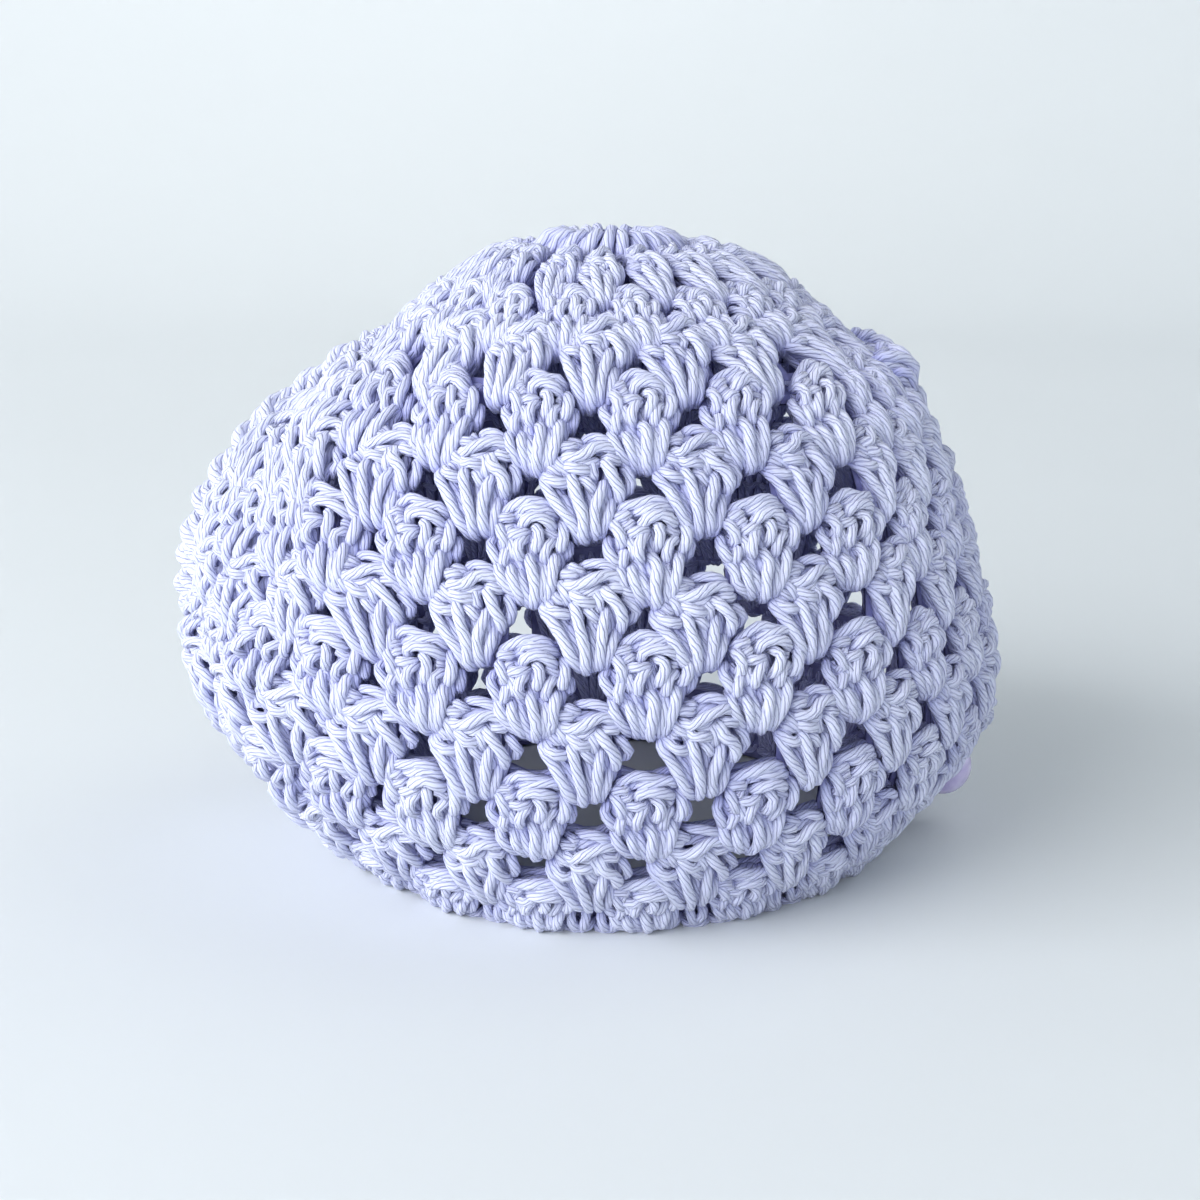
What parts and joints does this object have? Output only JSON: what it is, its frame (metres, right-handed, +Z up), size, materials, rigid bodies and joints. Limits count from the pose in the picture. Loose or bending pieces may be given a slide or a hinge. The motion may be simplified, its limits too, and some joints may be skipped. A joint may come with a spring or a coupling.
{
  "type": "crocheted tea cosy",
  "caption": "Hollow crocheted cover in open granny stitch, oval in plan, with a top hole in a rolled collar, a spout slit, a handle slit and a domed button below it.",
  "frame": {"origin": "middle of the cosy's footprint, on the surface its hem rests on", "axes": "+X towards the handle slit and the button, -X towards the spout slit, -Y to the front, +Z up"},
  "size_m": [0.1676, 0.1464, 0.1271],
  "materials": {
    "cotton_yarn": "soft lilac plied cotton yarn with a faint sheen",
    "sewing_thread": "lilac sewing thread",
    "pearl_button": "lilac pearl gloss"
  },
  "bodies": {
    "root": {"front_panel": "cotton_yarn", "back_panel": "cotton_yarn", "crown": "cotton_yarn", "top_collar": "cotton_yarn", "spout_edging_front": "cotton_yarn", "spout_edging_back": "cotton_yarn", "handle_band_front": "cotton_yarn", "handle_band_back": "cotton_yarn", "button_shank": "sewing_thread", "button": "pearl_button"}
  },
  "joints": []
}
